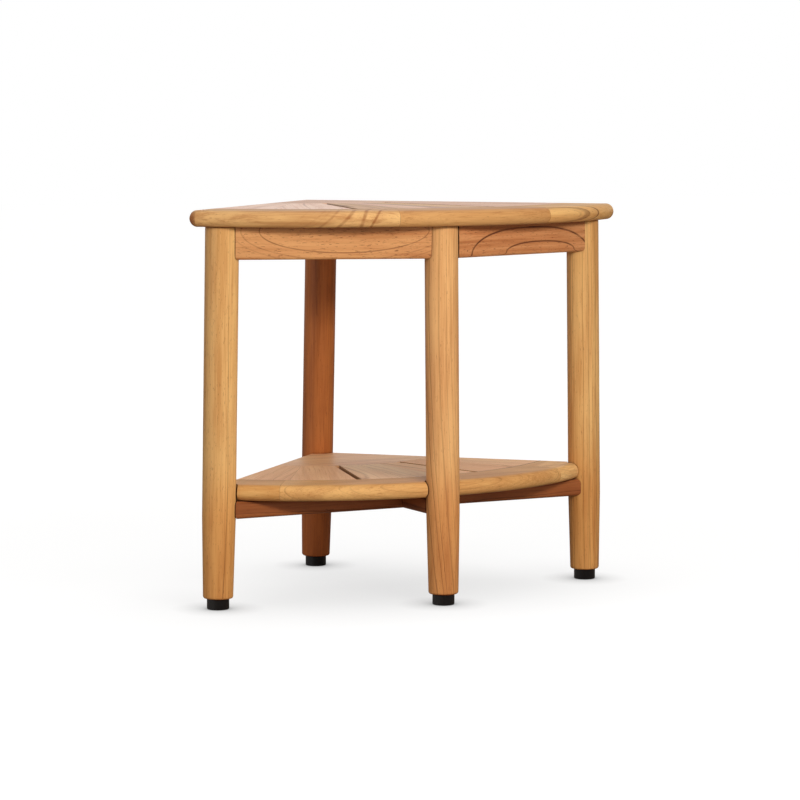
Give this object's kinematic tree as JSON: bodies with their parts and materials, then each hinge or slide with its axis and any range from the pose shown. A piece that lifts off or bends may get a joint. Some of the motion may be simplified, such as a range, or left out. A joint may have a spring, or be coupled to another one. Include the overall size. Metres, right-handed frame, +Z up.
{
  "type": "corner stool",
  "caption": "Teak corner stool: a quarter-round slatted seat and a slatted lower shelf on round tapered legs with screw-in levelling feet.",
  "frame": {"origin": "on the floor, under the middle of the overall box", "axes": "+Z up, +Y towards the wall corner, +X to the right as seen from the curved front"},
  "size_m": [0.5469, 0.389, 0.4485],
  "materials": {
    "seat_teak": "oiled satin",
    "seat_rail_teak": "oiled satin",
    "shelf_teak": "oiled satin",
    "shelf_rail_teak": "oiled satin",
    "joinery_teak": "sawn",
    "leg_teak": "oiled satin",
    "apron_teak": "oiled satin",
    "stretcher_teak": "oiled satin",
    "screw_steel": "satin",
    "insert_brass": "satin",
    "foot_steel": "zinc plated",
    "foot_plastic": "matt"
  },
  "bodies": {
    "frame": {"seat_corner_block": "seat_teak", "seat_board_1": "seat_teak", "seat_board_2": "seat_teak", "seat_board_3": "seat_teak", "seat_board_4": "seat_teak", "seat_board_5": "seat_teak", "seat_board_6": "seat_teak", "seat_board_7": "seat_teak", "seat_rail_left": "seat_rail_teak", "seat_rail_middle": "seat_rail_teak", "seat_rail_right": "seat_rail_teak", "seat_rail_splines": "joinery_teak", "shelf_corner_block": "shelf_teak", "shelf_board_1": "shelf_teak", "shelf_board_2": "shelf_teak", "shelf_board_3": "shelf_teak", "shelf_board_4": "shelf_teak", "shelf_board_5": "shelf_teak", "shelf_board_6": "shelf_teak", "shelf_board_7": "shelf_teak", "shelf_rail_left": "shelf_rail_teak", "shelf_rail_middle": "shelf_rail_teak", "shelf_rail_right": "shelf_rail_teak", "shelf_rail_splines": "joinery_teak", "leg_left": "leg_teak", "leg_front": "leg_teak", "leg_right": "leg_teak", "leg_back": "leg_teak", "apron_front_left": "apron_teak", "apron_front_right": "apron_teak", "apron_wall_left": "apron_teak", "apron_wall_right": "apron_teak", "stretcher_across": "stretcher_teak", "stretcher_front_back": "stretcher_teak", "seat_screws": "screw_steel", "shelf_screws": "screw_steel", "threaded_inserts": "insert_brass"},
    "foot_screw_left": {"foot_screw_left": "foot_steel"},
    "foot_pad_left": {"foot_pad_left": "foot_plastic"},
    "foot_screw_front": {"foot_screw_front": "foot_steel"},
    "foot_pad_front": {"foot_pad_front": "foot_plastic"},
    "foot_screw_right": {"foot_screw_right": "foot_steel"},
    "foot_pad_right": {"foot_pad_right": "foot_plastic"},
    "foot_screw_back": {"foot_screw_back": "foot_steel"},
    "foot_pad_back": {"foot_pad_back": "foot_plastic"}
  },
  "joints": [
    {"name": "foot_height_left", "type": "slide", "parent": "frame", "child": "foot_screw_left", "axis": [0, 0, -1], "range_m": [0, 0.0075]},
    {"name": "foot_turn_left", "type": "hinge", "parent": "foot_screw_left", "child": "foot_pad_left", "pos_m": [-0.24097, -0.07683, 0], "axis": [0, 0, -1], "range_deg": [0, 2160]},
    {"name": "foot_height_front", "type": "slide", "parent": "frame", "child": "foot_screw_front", "axis": [0, 0, -1], "range_m": [0, 0.0075]},
    {"name": "foot_turn_front", "type": "hinge", "parent": "foot_screw_front", "child": "foot_pad_front", "pos_m": [0, -0.16496, 0], "axis": [0, 0, -1], "range_deg": [0, 2160]},
    {"name": "foot_height_right", "type": "slide", "parent": "frame", "child": "foot_screw_right", "axis": [0, 0, -1], "range_m": [0, 0.0075]},
    {"name": "foot_turn_right", "type": "hinge", "parent": "foot_screw_right", "child": "foot_pad_right", "pos_m": [0.24097, -0.07683, 0], "axis": [0, 0, -1], "range_deg": [0, 2160]},
    {"name": "foot_height_back", "type": "slide", "parent": "frame", "child": "foot_screw_back", "axis": [0, 0, -1], "range_m": [0, 0.0075]},
    {"name": "foot_turn_back", "type": "hinge", "parent": "foot_screw_back", "child": "foot_pad_back", "pos_m": [0, 0.16329, 0], "axis": [0, 0, -1], "range_deg": [0, 2160]}
  ],
  "couplings": [
    {"joint": "foot_height_left", "follows": "foot_turn_left", "m_per_rad": 0.00019894},
    {"joint": "foot_height_front", "follows": "foot_turn_front", "m_per_rad": 0.00019894},
    {"joint": "foot_height_right", "follows": "foot_turn_right", "m_per_rad": 0.00019894},
    {"joint": "foot_height_back", "follows": "foot_turn_back", "m_per_rad": 0.00019894}
  ]
}
